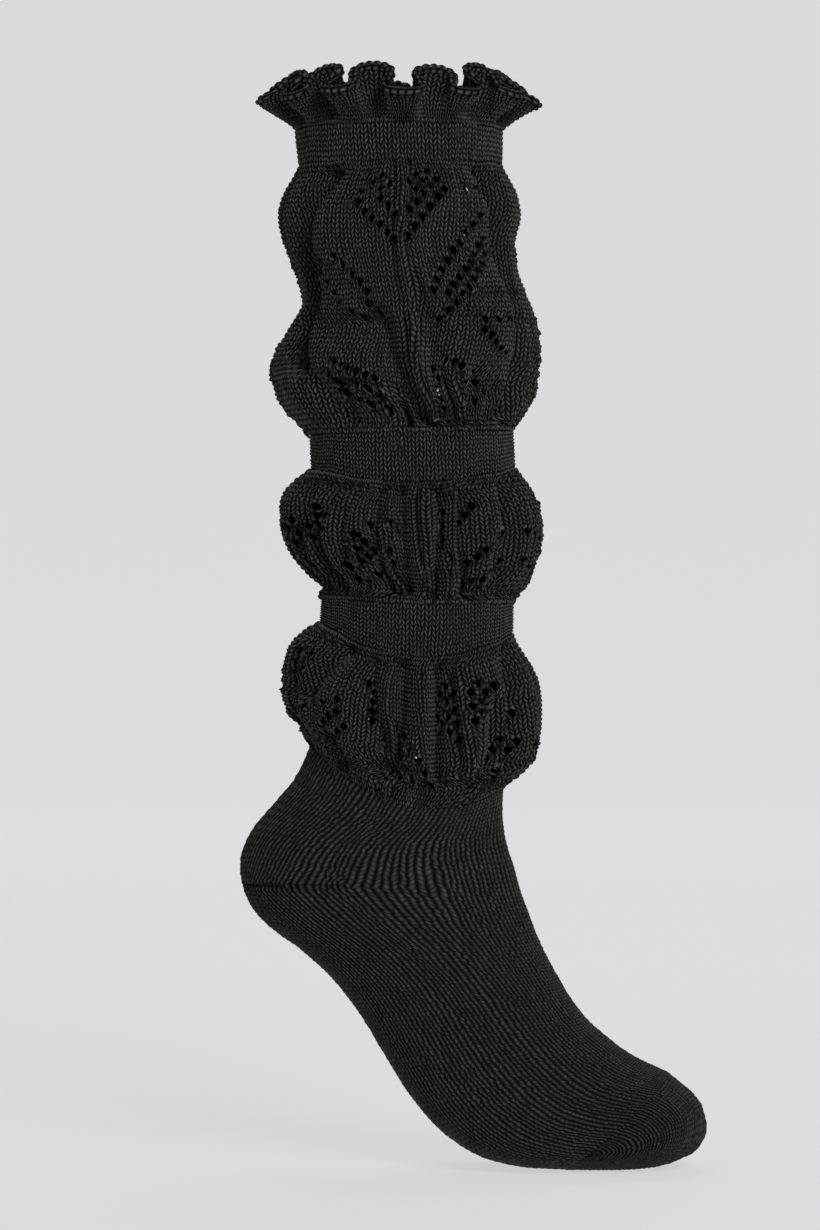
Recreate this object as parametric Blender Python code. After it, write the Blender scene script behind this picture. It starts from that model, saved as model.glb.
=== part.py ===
"""One lace knit knee sock, filled out as if worn on tiptoe.

The sock is knitted in the round from the top down: a fluted ruffle, a plain cuff band,
three full lace puffs drawn in by plain bands, and a plain foot with a short-row heel and
a toe pocket that is linked to the foot by one seam. Each stretch is a wall of cloth lofted
through its own rings and stands a seam gap from the next one.

Sizes are millimetres in the tables and metres in the mesh. +X points to the toes, +Z up,
and the outer side of the leg faces -Y. The origin is the middle of the cuff band.
Angles go round the leg: 0 is the outer side, 90 the shin, 180 the inner side, -90 the calf.
"""
import math

import bmesh
import bpy
import numpy as np

MM = 0.001
WALL = 1.6            # thickness of the knitted cloth
SEAM_GAP = 0.3        # space left between two stretches
NORMAL_SMOOTHING = 2  # passes that even out the direction in which the wall is measured
SHARP_EDGE = math.radians(50)
YARN_COLOUR = (0.022, 0.022, 0.023, 1.0)
YARN_ROUGHNESS = 0.9

# Heights of the joins between the stretches, at the calf, at the sides and at the shin.
JOINS = {
    #                calf    side    shin
    "ruffle":       (6.0,    6.0,    6.0),
    "cuff":         (-9.0,   -9.9,   -8.5),
    "upper_puff":   (-125.0, -124.8, -123.2),
    "middle_band":  (-139.0, -145.8, -138.4),
    "middle_puff":  (-195.0, -197.4, -197.2),
    "lower_band":   (-204.6, -219.6, -209.6),
    "lower_puff":   (-258.0, -283.0, -276.4),
}

# Plain bands: where the calf and the shin lie in X at the top and the bottom, and the half width in Y.
BANDS = {
    #               calf_top shin_top half_top  calf_low shin_low half_low
    "cuff_band":   (-45.0,   44.0,    42.0,     -43.4,   43.6,    41.5),
    "middle_band": (-38.6,   48.4,    41.0,     -38.0,   49.4,    41.0),
    "lower_band":  (-33.6,   48.6,    38.6,     -34.2,   48.4,    38.4),
}

# Outline of each puff: down is 0 at its upper join and 1 at its lower join.
PUFF_OUTLINES = {
    "upper_puff": (
        # down  calf    shin   half_width
        (0.00, -43.4,  43.6,  41.5),
        (0.05, -46.5,  46.8,  45.0),
        (0.10, -49.4,  49.8,  48.0),
        (0.18, -52.3,  51.4,  50.5),
        (0.30, -49.8,  49.2,  51.5),
        (0.42, -43.2,  51.6,  51.0),
        (0.50, -42.0,  55.2,  51.5),
        (0.60, -48.0,  58.8,  53.0),
        (0.72, -53.8,  60.0,  54.5),
        (0.83, -53.4,  58.2,  53.5),
        (0.93, -46.6,  54.2,  48.0),
        (1.00, -38.6,  48.4,  41.0),
    ),
    "middle_puff": (
        (0.00, -38.0,  49.4,  41.0),
        (0.05, -43.0,  52.2,  45.0),
        (0.12, -47.8,  55.6,  49.5),
        (0.30, -52.6,  60.2,  54.0),
        (0.50, -52.0,  61.8,  55.0),
        (0.70, -46.2,  59.2,  52.0),
        (0.88, -36.2,  54.0,  45.5),
        (1.00, -33.6,  48.6,  38.6),
    ),
    "lower_puff": (
        (0.00, -34.2,  48.4,  38.4),
        (0.05, -39.8,  50.8,  42.5),
        (0.12, -44.2,  53.6,  47.0),
        (0.30, -50.2,  59.2,  52.5),
        (0.50, -51.0,  61.4,  54.0),
        (0.70, -48.6,  60.2,  51.0),
        (0.88, -41.4,  54.4,  44.0),
        (1.00, -38.2,  44.2,  36.0),
    ),
}

# Folds of each puff: troughs pressed into the outline, or ridges where the depth is negative. Top and low are
# the angles where a fold starts and ends, bow is how far it swings aside between them, half is its half width.
PUFF_FOLDS = {
    "upper_puff": (
        # top     low     bow    depth  half   from   to
        ( -80.0,  -84.0,    0.0,   3.5,   9.0,  0.00,  0.45),
        ( -38.0,  -40.0,  -21.0,   7.6,  12.0,  0.00,  1.00),
        ( -55.0,    3.0,    0.0,   6.5,  11.0,  0.44,  1.00),
        ( -23.0,  -26.0,    0.0,   2.2,   6.5,  0.00,  0.18),
        ( -30.0,  -28.0,    0.0,   3.5,   7.0,  0.76,  1.00),
        ( -17.0,  -14.0,    0.0,   3.0,   6.0,  0.80,  1.00),
        (  -2.0,   11.0,    0.0,  -2.4,   7.0,  0.00,  1.00),
        ( -12.0,   21.0,    0.0,   5.1,   9.0,  0.48,  1.00),
        (  17.0,   19.0,    0.0,   2.0,   6.5,  0.00,  0.16),
        (  30.0,   33.0,    0.0,   3.8,   7.0,  0.72,  1.00),
        (  44.0,   44.0,    0.0,   3.0,   6.5,  0.78,  1.00),
        (  50.0,   56.0,   13.0,   7.0,  11.0,  0.00,  1.00),
        (  84.0,   76.0,    0.0,   4.1,   9.0,  0.30,  1.00),
        ( 101.0,  106.0,   10.0,   6.2,  11.0,  0.00,  0.80),
        ( 124.0,  118.0,    0.0,   4.3,   8.0,  0.50,  1.00),
        ( 136.0,  150.0,  -14.0,   6.8,  12.0,  0.00,  1.00),
        ( 166.0,  168.0,    0.0,   3.2,   7.0,  0.00,  0.30),
        ( 196.0,  176.0,    0.0,   5.9,  10.0,  0.40,  1.00),
        ( 190.0,  200.0,   16.0,   5.4,  11.0,  0.00,  0.72),
        ( 222.0,  214.0,    0.0,   4.1,   8.0,  0.62,  1.00),
        ( 232.0,  240.0,  -12.0,   7.0,  12.0,  0.00,  1.00),
        ( 256.0,  258.0,    0.0,   4.3,   9.0,  0.48,  1.00),
    ),
    "middle_puff": (
        ( -84.0,  -86.0,    0.0,   3.8,   8.0,  0.00,  1.00),
        ( -50.0,  -66.0,   -6.0,   5.4,   9.0,  0.00,  1.00),
        ( -37.0,  -50.0,   -5.0,   4.6,   8.0,  0.00,  1.00),
        ( -27.0,  -34.0,   -4.0,   3.8,   7.0,  0.00,  0.92),
        ( -18.0,  -16.0,    1.0,   5.1,   8.0,  0.00,  1.00),
        (  -5.0,   -9.0,    3.0,   6.8,   9.0,  0.00,  1.00),
        (  17.0,    7.0,    3.0,   6.8,   9.0,  0.00,  1.00),
        (  31.0,   27.0,   -5.0,   4.9,   8.0,  0.00,  1.00),
        (  46.0,   42.0,    0.0,   3.0,   7.0,  0.40,  1.00),
        (  62.0,   58.0,   -9.0,   5.9,  10.0,  0.00,  1.00),
        (  78.0,   75.0,   -4.0,   4.3,   8.0,  0.00,  1.00),
        (  96.0,   98.0,    0.0,   5.1,   9.0,  0.00,  1.00),
        ( 112.0,  110.0,    4.0,   4.1,   8.0,  0.00,  0.85),
        ( 126.0,  131.0,    0.0,   6.5,  10.0,  0.00,  1.00),
        ( 143.0,  147.0,   -3.0,   4.3,   8.0,  0.10,  1.00),
        ( 160.0,  162.0,    4.0,   5.9,   9.0,  0.00,  1.00),
        ( 178.0,  176.0,    0.0,   4.1,   8.0,  0.00,  0.90),
        ( 193.0,  196.0,    5.0,   6.5,  10.0,  0.00,  1.00),
        ( 211.0,  209.0,    0.0,   4.3,   8.0,  0.00,  1.00),
        ( 227.0,  232.0,   -4.0,   6.2,   9.0,  0.00,  1.00),
        ( 243.0,  248.0,    0.0,   3.8,   8.0,  0.20,  1.00),
        ( 259.0,  261.0,    3.0,   5.1,   9.0,  0.00,  1.00),
    ),
    "lower_puff": (
        ( -86.0,  -88.0,    0.0,   3.8,   8.0,  0.00,  0.80),
        ( -64.0,  -76.0,    0.0,   4.6,   9.0,  0.00,  0.90),
        ( -38.0,  -74.0,   -4.0,   7.3,  11.0,  0.00,  0.62),
        ( -40.0,  -42.0,    0.0,   3.2,   7.0,  0.60,  1.00),
        ( -24.0,   -8.0,    0.0,   4.6,   8.0,  0.00,  0.80),
        (  -5.0,  -19.0,    6.0,   7.0,   9.0,  0.00,  0.92),
        (   1.0,    2.0,    0.0,   3.2,   7.0,  0.66,  1.00),
        (  18.0,   12.0,   -1.0,   6.8,   9.0,  0.00,  0.90),
        (  31.0,   25.0,    0.0,  -1.9,   7.0,  0.00,  1.00),
        (  52.0,   38.0,   -4.0,   4.1,   8.0,  0.25,  1.00),
        (  68.0,   58.0,   -8.0,   6.5,  10.0,  0.00,  1.00),
        (  84.0,   76.0,    0.0,   4.6,   8.0,  0.00,  1.00),
        ( 100.0,  102.0,    4.0,   5.7,   9.0,  0.00,  1.00),
        ( 117.0,  114.0,    0.0,   4.1,   8.0,  0.10,  1.00),
        ( 132.0,  138.0,    0.0,   6.8,  10.0,  0.00,  1.00),
        ( 150.0,  154.0,    4.0,   4.3,   8.0,  0.00,  0.85),
        ( 167.0,  170.0,    0.0,   6.2,  10.0,  0.00,  1.00),
        ( 186.0,  184.0,   -3.0,   4.1,   8.0,  0.20,  1.00),
        ( 201.0,  205.0,    0.0,   6.5,  10.0,  0.00,  1.00),
        ( 220.0,  217.0,    4.0,   4.6,   8.0,  0.00,  0.90),
        ( 236.0,  243.0,    0.0,   6.2,  10.0,  0.00,  0.85),
        ( 254.0,  257.0,    0.0,   4.1,   8.0,  0.00,  0.80),
    ),
}
FOLD_FADE = 0.13      # share of a puff's height over which a fold comes in and goes out
CREASE_ROUNDING = 0.12   # share of a fold's half width over which its bottom is round
CREASE_SHARPNESS = 1.6   # 1 is a straight-sided crease, 2 one that hollows out towards its bottom

# Ruffle: an even frill whose waves open towards its rim, which is thicker where the two purl ridges edge it.
RUFFLE_WAVES = 13
RUFFLE_PHASE = 2.35   # degrees from the outer side to the crest of the nearest wave
RUFFLE_TIGHTNESS = 0.8
RUFFLE_ROWS = (
    # up     radius  wave  height_in height_out wall
    (0.00,   44.0,   0.0,   6.0,      6.0,      1.6),
    (0.20,   47.0,   3.2,   11.4,     10.6,     1.6),
    (0.48,   50.2,   5.6,   18.4,     15.2,     1.6),
    (0.80,   52.4,   6.5,   26.6,     19.0,     1.8),
    (1.00,   52.6,   6.6,   31.4,     21.6,     2.6),
)
RUFFLE_CENTRE_X = -0.3
RUFFLE_FLATTENING = 0.955  # half width in Y over half width in X

# Foot: each ring runs from the heel side or the sole to the shin side or the instep.
FOOT_RINGS = (
    # back_x  back_z   front_x front_z half_width fullness egg   sag
    (-38.2,  -258.0,   44.2,  -276.4,  36.0,      0.00,    0.00,  15.8),
    (-43.9,  -270.5,   43.9,  -281.7,  34.6,      0.00,    0.02,  12.4),
    (-53.3,  -282.5,   43.9,  -289.4,  33.8,      0.00,    0.05,   8.4),
    (-62.8,  -293.7,   44.7,  -296.3,  33.4,      0.00,    0.08,   4.6),
    (-67.5,  -303.2,   46.4,  -303.2,  33.4,      0.02,    0.10,   2.0),
    (-68.4,  -310.9,   48.6,  -310.0,  33.6,      0.04,    0.10,   0.6),
    (-67.5,  -317.8,   50.7,  -317.8,  33.8,      0.05,    0.10,   0.0),
    (-64.1,  -326.4,   53.3,  -325.5,  34.2,      0.06,    0.09,   0.0),
    (-56.8,  -335.0,   56.8,  -335.0,  34.8,      0.07,    0.07,   0.0),
    (-43.0,  -345.3,   61.1,  -345.3,  35.4,      0.08,    0.05,   0.0),
    (-28.8,  -358.2,   67.1,  -356.5,  36.2,      0.09,    0.03,   0.0),
    (-16.8,  -373.7,   73.0,  -366.5,  37.6,      0.11,    0.01,   0.0),
    (-6.9,   -390.0,   80.4,  -376.2,  39.4,      0.13,    0.00,   0.0),
    (3.9,    -407.2,   87.8,  -382.8,  41.4,      0.16,    0.00,   0.0),
    (17.2,   -422.7,   95.5,  -388.8,  42.8,      0.19,    0.00,   0.0),
    (34.4,   -433.9,   103.2, -393.5,  43.2,      0.22,    0.00,   0.0),
    (51.6,   -438.2,   109.8, -396.5,  42.6,      0.24,    0.00,   0.0),
    (70.1,   -439.4,   115.2, -399.0,  41.0,      0.25,    0.00,   0.0),
)
# Toe pocket: its rings close on the tip of the toes.
TOE_RINGS = (
    (70.1,   -439.4,   115.2, -399.0,  41.0,      0.25,    0.00,   0.0),
    (85.1,   -439.5,   120.8, -403.6,  38.0,      0.25,    0.00,   0.0),
    (100.2,  -439.3,   126.2, -408.4,  33.4,      0.24,    0.00,   0.0),
    (112.7,  -437.7,   129.4, -413.0,  26.6,      0.22,    0.00,   0.0),
    (121.4,  -434.8,   131.0, -418.2,  17.6,      0.18,    0.00,   0.0),
)
TOE_TIP = (131.0, 0.0, -427.6)

COLUMNS = {"ruffle": 8 * RUFFLE_WAVES, "band": 36, "puff": 76, "foot": 36}
PUFF_ROWS = {"upper_puff": 11, "middle_puff": 7, "lower_puff": 7}

# The longer stretches are parted into short rings of cloth. Each part starts at that ring.
PARTS = {
    "upper_puff": {"upper_puff_top": 0, "upper_puff_waist": 4, "upper_puff_base": 7},
    "middle_puff": {"middle_puff_top": 0, "middle_puff_base": 3},
    "lower_puff": {"lower_puff_top": 0, "lower_puff_base": 3},
    "foot": {"ankle": 0, "heel": 5, "arch": 9, "ball": 13},
}


def turn(columns):
    """Angles of evenly spaced columns round the leg, in degrees."""
    return np.arange(columns) * 360.0 / columns


def across(angle):
    """Share of the way to the shin (1) or the calf (-1), and to the outer side (-1) or the inner (1)."""
    radians = np.radians(angle)
    return np.sin(radians), -np.cos(radians)


def sagging(calf, side, shin, to_shin):
    """Height of a loop that leans from the calf to the shin and sags at the sides."""
    middle = (calf + shin) / 2
    return middle + (shin - calf) / 2 * to_shin + (side - middle) * (1 - to_shin**2)


def join_height(name, angle):
    """Height of the join below that stretch."""
    calf, side, shin = JOINS[name]
    return sagging(calf, side, shin, across(angle)[0])


def through(rows, at):
    """Values of a table's columns at a position along its first column, on a smooth curve through its rows."""
    table = np.array(rows)
    place, values = table[:, 0], table[:, 1:]
    slope = np.gradient(values, place, axis=0)
    index = int(np.clip(np.searchsorted(place, at) - 1, 0, len(place) - 2))
    step = place[index + 1] - place[index]
    x = (at - place[index]) / step
    return (
        values[index] * (2 * x**3 - 3 * x**2 + 1)
        + slope[index] * step * (x**3 - 2 * x**2 + x)
        + values[index + 1] * (3 * x**2 - 2 * x**3)
        + slope[index + 1] * step * (x**3 - x**2)
    )


def ease(x):
    """0 below 0, 1 above 1, and a smooth rise between them."""
    x = np.clip(x, 0, 1)
    return x * x * (3 - 2 * x)


def fold_depth(name, angle, down):
    """How far the folds of a puff press its outline in; the deepest trough counts where several meet."""
    pressed = np.zeros_like(angle)
    raised = np.zeros_like(angle)
    for top, low, bow, depth, half_width, start, end in PUFF_FOLDS[name]:
        middle = top + (low - top) * down + bow * math.sin(math.pi * down)
        away = np.abs((angle - middle + 180) % 360 - 180) / half_width
        away = np.sqrt(away**2 + CREASE_ROUNDING**2) - CREASE_ROUNDING
        shown = ease((down - start) / FOLD_FADE) * ease((end - down) / FOLD_FADE)
        moved = depth * shown * np.clip(1 - away, 0, 1) ** CREASE_SHARPNESS
        pressed = np.maximum(pressed, moved)
        raised = np.minimum(raised, moved)
    return pressed + raised


def leg_ring(calf, shin, half_width, angle, height, pressed=0.0):
    """A ring round the leg: quarter ellipses to the calf, the sides and the shin, pressed in by the folds."""
    to_shin, to_inner = across(angle)
    centre = (calf + shin) / 2
    reach = (shin - calf) / 2
    radius = np.hypot(reach * to_shin, half_width * to_inner)
    share = (radius - pressed) / radius
    return np.stack([centre + reach * to_shin * share, half_width * to_inner * share, height], axis=1)


def band_rings(name, above, below):
    calf_top, shin_top, half_top, calf_low, shin_low, half_low = BANDS[name]
    angle = turn(COLUMNS["band"])
    rings = []
    for down in (0.0, 1.0):
        calf = calf_top + (calf_low - calf_top) * down
        shin = shin_top + (shin_low - shin_top) * down
        half = half_top + (half_low - half_top) * down
        high, low = join_height(above, angle), join_height(below, angle)
        rings.append(leg_ring(calf, shin, half, angle, high + (low - high) * down))
    return rings


def puff_rings(name, above):
    angle = turn(COLUMNS["puff"])
    rings = []
    for down in np.linspace(0, 1, PUFF_ROWS[name] + 1):
        down = down + 0.35 * (ease(down) - down)
        calf, shin, half = through(PUFF_OUTLINES[name], down)
        high, low = join_height(above, angle), join_height(name, angle)
        pressed = fold_depth(name, angle, down)
        rings.append(leg_ring(calf, shin, half, angle, high + (low - high) * down, pressed))
    return rings


def ruffle_rings():
    angle = turn(COLUMNS["ruffle"])
    phase = np.radians(RUFFLE_WAVES * (angle - RUFFLE_PHASE))
    swung = angle + np.degrees(RUFFLE_TIGHTNESS / (2 * RUFFLE_WAVES) * np.sin(2 * phase))
    rings = []
    for up, radius, wave, height_in, height_out, _ in RUFFLE_ROWS:
        bent = angle + (swung - angle) * math.sqrt(up)
        to_shin, to_inner = across(bent)
        reach = radius + wave * np.cos(phase)
        height = height_in + (height_out - height_in) * (1 + np.cos(phase)) / 2
        rings.append(np.stack([
            RUFFLE_CENTRE_X + reach * to_shin,
            reach * RUFFLE_FLATTENING * to_inner,
            height,
        ], axis=1))
    return rings[::-1]


def ring_axis(row):
    """The axis of a foot ring's plane, which points up the foot."""
    back_x, back_z, front_x, front_z = row[:4]
    span = math.hypot(front_x - back_x, front_z - back_z)
    return (-(front_z - back_z) / span, 0.0, (front_x - back_x) / span)


def foot_ring(row, angle):
    """A ring round the foot in the slanting plane from its sole point to its instep point, less its sag."""
    back_x, back_z, front_x, front_z, half_width, fullness, egg, sag = row
    to_front, to_inner = across(angle)
    power = 1 - fullness * np.clip(0.3 - to_front, 0, 1)
    side = np.sign(to_inner) * np.abs(to_inner) ** power * (1 + egg * to_front)
    return np.stack([
        (back_x + front_x) / 2 + (front_x - back_x) / 2 * to_front,
        half_width * side,
        sagging(back_z, (back_z + front_z) / 2 - sag, front_z, to_front),
    ], axis=1)


def outward(rings):
    """Normals of a tube, evened out from column to column so that the inside doesn't cross itself in a crease."""
    grid = np.array(rings)
    along = np.gradient(grid, axis=0)
    around = np.roll(grid, -1, axis=1) - np.roll(grid, 1, axis=1)
    normal = np.cross(along, around)
    normal /= np.linalg.norm(normal, axis=2, keepdims=True)
    for _ in range(NORMAL_SMOOTHING):
        normal += (np.roll(normal, -1, axis=1) + np.roll(normal, 1, axis=1)) / 2
        normal /= np.linalg.norm(normal, axis=2, keepdims=True)
    return normal


def level(normal, seam_axis):
    """The normals of an end ring turned into the plane of its seam."""
    axis = np.array(seam_axis)
    flat = normal - (normal @ axis)[:, None] * axis
    return flat / np.linalg.norm(flat, axis=1, keepdims=True)


def shifted(ring, axis, distance):
    return ring + np.array(axis) * distance


def knit_material():
    material = bpy.data.materials.new("charcoal_knit")
    material.use_nodes = True
    shader = material.node_tree.nodes["Principled BSDF"]
    shader.inputs["Base Color"].default_value = YARN_COLOUR
    shader.inputs["Roughness"].default_value = YARN_ROUGHNESS
    shader.inputs["Metallic"].default_value = 0.0
    return material


def leanings(first, second):
    """For each quad between two loops, whether its shorter diagonal starts at its own column of the first."""
    onward = np.linalg.norm(first - np.roll(second, -1, axis=0), axis=1)
    return onward <= np.linalg.norm(np.roll(first, -1, axis=0) - second, axis=1)


def add_triangles(bm, first, second, leaning):
    """Triangles between two loops of the same number of points; a single point makes a fan."""
    count = max(len(first), len(second))
    for column in range(count):
        after = (column + 1) % count
        here = (first[column % len(first)], second[column % len(second)])
        there = (first[after % len(first)], second[after % len(second)])
        if len(first) == 1 or len(second) == 1:
            bm.faces.new(dict.fromkeys(here + there))
        elif leaning[column]:
            bm.faces.new((here[0], there[0], there[1]))
            bm.faces.new((here[0], there[1], here[1]))
        else:
            bm.faces.new((here[0], there[0], here[1]))
            bm.faces.new((there[0], there[1], here[1]))


def loft(name, loops, leaning, cyclic, material):
    """A named object through loops of points, outer side first; cyclic joins the last loop to the first."""
    bm = bmesh.new()
    made = [[bm.verts.new(point * MM) for point in loop] for loop in loops]
    following = made[1:] + made[:1] if cyclic else made[1:]
    for first, second, leans in zip(made, following, leaning):
        add_triangles(bm, first, second, leans)
    bmesh.ops.recalc_face_normals(bm, faces=bm.faces)
    mesh = bpy.data.meshes.new(name)
    bm.to_mesh(mesh)
    bm.free()
    mesh.materials.append(material)
    mesh.shade_smooth()
    mesh.set_sharp_from_angle(angle=SHARP_EDGE)
    made_object = bpy.data.objects.new(name, mesh)
    bpy.context.scene.collection.objects.link(made_object)
    return made_object


def tube(name, rings, top_axis, low_axis, material, walls=None):
    """A wall of cloth through rings, top first, with its ends set back half a seam gap along the seams' axes."""
    walls = walls or [WALL] * len(rings)
    rings = [ring.copy() for ring in rings]
    if top_axis is not None:
        rings[0] = shifted(rings[0], top_axis, -SEAM_GAP / 2)
    if low_axis is not None:
        rings[-1] = shifted(rings[-1], low_axis, SEAM_GAP / 2)
    normal = outward(rings)
    if top_axis is not None:
        normal[0] = level(normal[0], top_axis)
    if low_axis is not None:
        normal[-1] = level(normal[-1], low_axis)
    inner = [ring - wall * across_wall for ring, wall, across_wall in zip(rings, walls, normal)]
    # Both skins are split along the same diagonals, so that they stay apart where a quad is warped.
    down = [leanings(first, second) for first, second in zip(rings, rings[1:])]
    end = [np.ones(len(rings[0]), bool)]
    leaning = down + end + [~leans for leans in down[::-1]] + end
    return loft(name, rings + inner[::-1], leaning, True, material)


def parted(name, rings, axes, material):
    """The tubes of a longer stretch, whose rings lie square to the axes."""
    starts = list(PARTS[name].values())
    for part, start, end in zip(PARTS[name], starts, starts[1:] + [len(rings) - 1]):
        tube(part, rings[start:end + 1], axes[start], axes[end], material)


def toe_pocket(name, seam_axis, material):
    """The toe pocket: an outer and an inner skin that each close on the tip and meet at the seam."""
    angle = turn(COLUMNS["foot"])
    rings = [foot_ring(row, angle) for row in TOE_RINGS]
    rings[0] = shifted(rings[0], seam_axis, -SEAM_GAP / 2)
    normal = outward(rings)
    normal[0] = level(normal[0], seam_axis)
    inner = [ring - WALL * across_wall for ring, across_wall in zip(rings, normal)]
    tip = np.array([TOE_TIP])
    inner_tip = tip - np.array([[WALL, 0.0, 0.0]])
    down = [leanings(first, second) for first, second in zip(rings, rings[1:])]
    end = [np.ones(len(angle), bool)]
    leaning = end + [~leans for leans in down[::-1]] + end + down + end
    return loft(name, [tip] + rings[::-1] + inner + [inner_tip], leaning, False, material)


def main():
    for leftover in list(bpy.data.objects):
        bpy.data.objects.remove(leftover)
    material = knit_material()
    up = (0.0, 0.0, 1.0)
    tube("ruffle", ruffle_rings(), None, up, material, [row[-1] for row in reversed(RUFFLE_ROWS)])
    tube("cuff_band", band_rings("cuff_band", "ruffle", "cuff"), up, up, material)
    tube("middle_band", band_rings("middle_band", "upper_puff", "middle_band"), up, up, material)
    tube("lower_band", band_rings("lower_band", "middle_puff", "lower_band"), up, up, material)
    for name, above in (("upper_puff", "cuff"), ("middle_puff", "middle_band"), ("lower_puff", "lower_band")):
        rings = puff_rings(name, above)
        parted(name, rings, [up] * len(rings), material)
    angle = turn(COLUMNS["foot"])
    axes = [up] + [ring_axis(row) for row in FOOT_RINGS[1:]]
    parted("foot", [foot_ring(row, angle) for row in FOOT_RINGS], axes, material)
    toe_pocket("toe_cap", ring_axis(TOE_RINGS[0]), material)


main()
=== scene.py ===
"""One lace knit knee sock, filled out on tiptoe.

It is knitted in the round from the top down in one charcoal yarn: a fluted ruffle, a plain
cuff band, three full lace puffs drawn in by plain bands, and a plain foot with a short-row
heel and a toe pocket linked on by one seam. Sizes are millimetres unless they say otherwise.
+X points to the toes, +Z up, and the outer side of the leg faces -Y. Angles go round the
leg: 0 is the outer side, 90 the shin, 180 the inner side and 270 the calf.
"""
import math

import bpy
import numpy as np
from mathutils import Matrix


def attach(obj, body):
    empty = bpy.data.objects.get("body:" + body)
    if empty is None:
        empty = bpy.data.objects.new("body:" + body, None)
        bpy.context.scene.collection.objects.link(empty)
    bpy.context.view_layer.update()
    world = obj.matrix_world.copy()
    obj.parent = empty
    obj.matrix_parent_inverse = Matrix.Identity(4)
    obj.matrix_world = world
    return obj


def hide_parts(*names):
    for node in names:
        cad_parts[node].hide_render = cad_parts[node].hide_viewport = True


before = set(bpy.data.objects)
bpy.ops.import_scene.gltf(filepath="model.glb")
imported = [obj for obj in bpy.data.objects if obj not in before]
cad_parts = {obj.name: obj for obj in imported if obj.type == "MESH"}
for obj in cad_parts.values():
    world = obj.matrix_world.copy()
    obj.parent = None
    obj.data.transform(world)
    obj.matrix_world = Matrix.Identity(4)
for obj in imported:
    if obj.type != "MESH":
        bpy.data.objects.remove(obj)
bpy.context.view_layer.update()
bpy.ops.object.select_all(action="DESELECT")

# ------------------------------------------------------------
# Yarn. A soft-spun wool and cotton yarn of two plies, dyed charcoal. It is matt, its plies show
# as slanting strands on each leg of a stitch, and light hardly gets into the gaps between them,
# so those gaps get painted shade in the yarn's colour, gloss and sheen.
# Its pattern follows the stitches: U counts the wales round, V the courses down.

# Colours of the yarn on its legs, and of the painted shade in the gaps between them.
CHARCOAL_GAP_SHADE = "#0b0b0b"
CHARCOAL_LEG = "#555556"
STRETCHED_GAP_SHADE = "#0f0f0f"
STRETCHED_LEG = "#424243"
FUZZ = "#7a7a7c"
STRANDS_PER_STITCH = 2.0
STRAND_SLANT = 6.0         # strands by which the pattern shifts from one side of a leg to the other
STRAND_HEIGHT = 0.22       # heights of the strands and the fibres, as shares of the yarn's own
FIBRE_HEIGHT = 0.35
YARN_BUMP = 0.0004         # metres
FIBRE_SCALE = 250 / 0.3    # the noise is about four times as fine, for 0.3 mm fibres
PATCH_SCALE = 240.0        # uneven dye, in patches of about 4 mm
YARN_GLOSS = 0.22
YARN_SHEEN = 0.05


def linear(hex_colour):
    """The linear colour of an sRGB hex value."""
    parts = [int(hex_colour[i:i + 2], 16) / 255 for i in (1, 3, 5)]
    return [c / 12.92 if c <= 0.04045 else ((c + 0.055) / 1.055) ** 2.4 for c in parts] + [1.0]


def add_node(tree, kind, inputs=(), **settings):
    """A node of that kind with its settings, its input values and the links into it."""
    node = tree.nodes.new(kind)
    for setting, value in settings.items():
        setattr(node, setting, value)
    for socket, value in dict(inputs).items():
        if isinstance(value, bpy.types.NodeSocket):
            tree.links.new(value, node.inputs[socket])
        else:
            node.inputs[socket].default_value = value
    return node


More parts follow.
